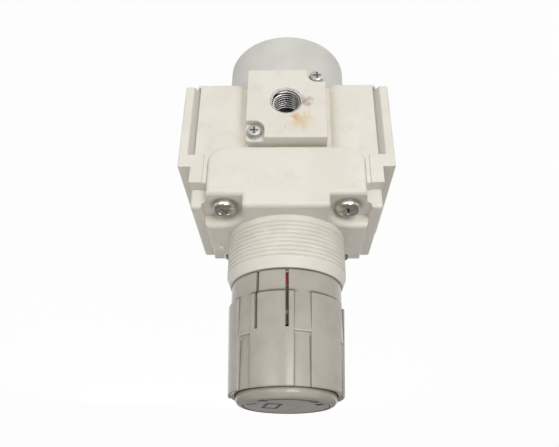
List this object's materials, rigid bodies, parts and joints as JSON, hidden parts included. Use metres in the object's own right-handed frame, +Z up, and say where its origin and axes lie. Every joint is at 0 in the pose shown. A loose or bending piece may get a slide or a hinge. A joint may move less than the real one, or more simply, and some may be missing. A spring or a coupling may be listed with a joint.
{
  "type": "air pressure regulator",
  "caption": "Air pressure regulator with threaded pipe ports left and right, a gauge port plate, a threaded panel-mount neck and a fluted adjusting knob.",
  "frame": {"origin": "centre of the flat base of the bottom cap, on the axis of the knob and the valve", "axes": "+Z up the valve axis to the knob, -Y to the gauge port side, +X out of the outlet port"},
  "size_m": [0.075, 0.0562, 0.138],
  "materials": {
    "body_finish": "satin",
    "cap_plastic": "satin",
    "knob_plastic": "gloss",
    "nickel_steel": "satin",
    "black_rubber": "matte",
    "brass": "satin",
    "bare_aluminium": "satin",
    "spring_steel": "satin",
    "red_plastic": "satin"
  },
  "bodies": {
    "casing": {"body": "body_finish", "bottom_cap": "cap_plastic", "bottom_cap_o_ring": "black_rubber", "valve_seat": "brass", "bonnet": "body_finish", "bonnet_screws": "nickel_steel", "thrust_washer": "spring_steel", "indicator_ring": "red_plastic", "gauge_port_plate": "body_finish", "gauge_plate_screws": "nickel_steel", "gauge_plate_o_ring": "black_rubber", "back_port_plug": "nickel_steel", "stem_o_ring": "black_rubber", "diaphragm": "black_rubber", "main_spring": "spring_steel", "valve_spring": "spring_steel"},
    "adjuster": {"adjusting_screw": "spring_steel"},
    "knob": {"knob": "knob_plastic", "knob_cap": "knob_plastic"},
    "spring_nut": {"spring_nut": "brass"},
    "valve_train": {"valve_stem": "brass", "valve_poppet": "brass", "valve_seal": "black_rubber", "diaphragm_upper_plate": "bare_aluminium", "diaphragm_lower_plate": "bare_aluminium", "diaphragm_nut": "spring_steel"}
  },
  "joints": [
    {"name": "knob_turn", "type": "hinge", "parent": "casing", "child": "adjuster", "pos_m": [0, 0, 0.11], "axis": [0, 0, 1], "range_deg": [-1800, 0]},
    {"name": "knob_lift", "type": "slide", "parent": "adjuster", "child": "knob", "axis": [0, 0, 1], "range_m": [0, 0.003]},
    {"name": "spring_nut_travel", "type": "slide", "parent": "casing", "child": "spring_nut", "axis": [0, 0, 1], "range_m": [-0.00625, 0], "deforming": ["main_spring"]},
    {"name": "valve_stroke", "type": "slide", "parent": "casing", "child": "valve_train", "axis": [0, 0, 1], "range_m": [-0.0012, 0], "stiffness_N_per_m": 800, "springref_m": 0.002, "deforming": ["valve_spring", "diaphragm"]}
  ],
  "couplings": [
    {"joint": "spring_nut_travel", "follows": "knob_turn", "m_per_rad": 0.00019894}
  ]
}
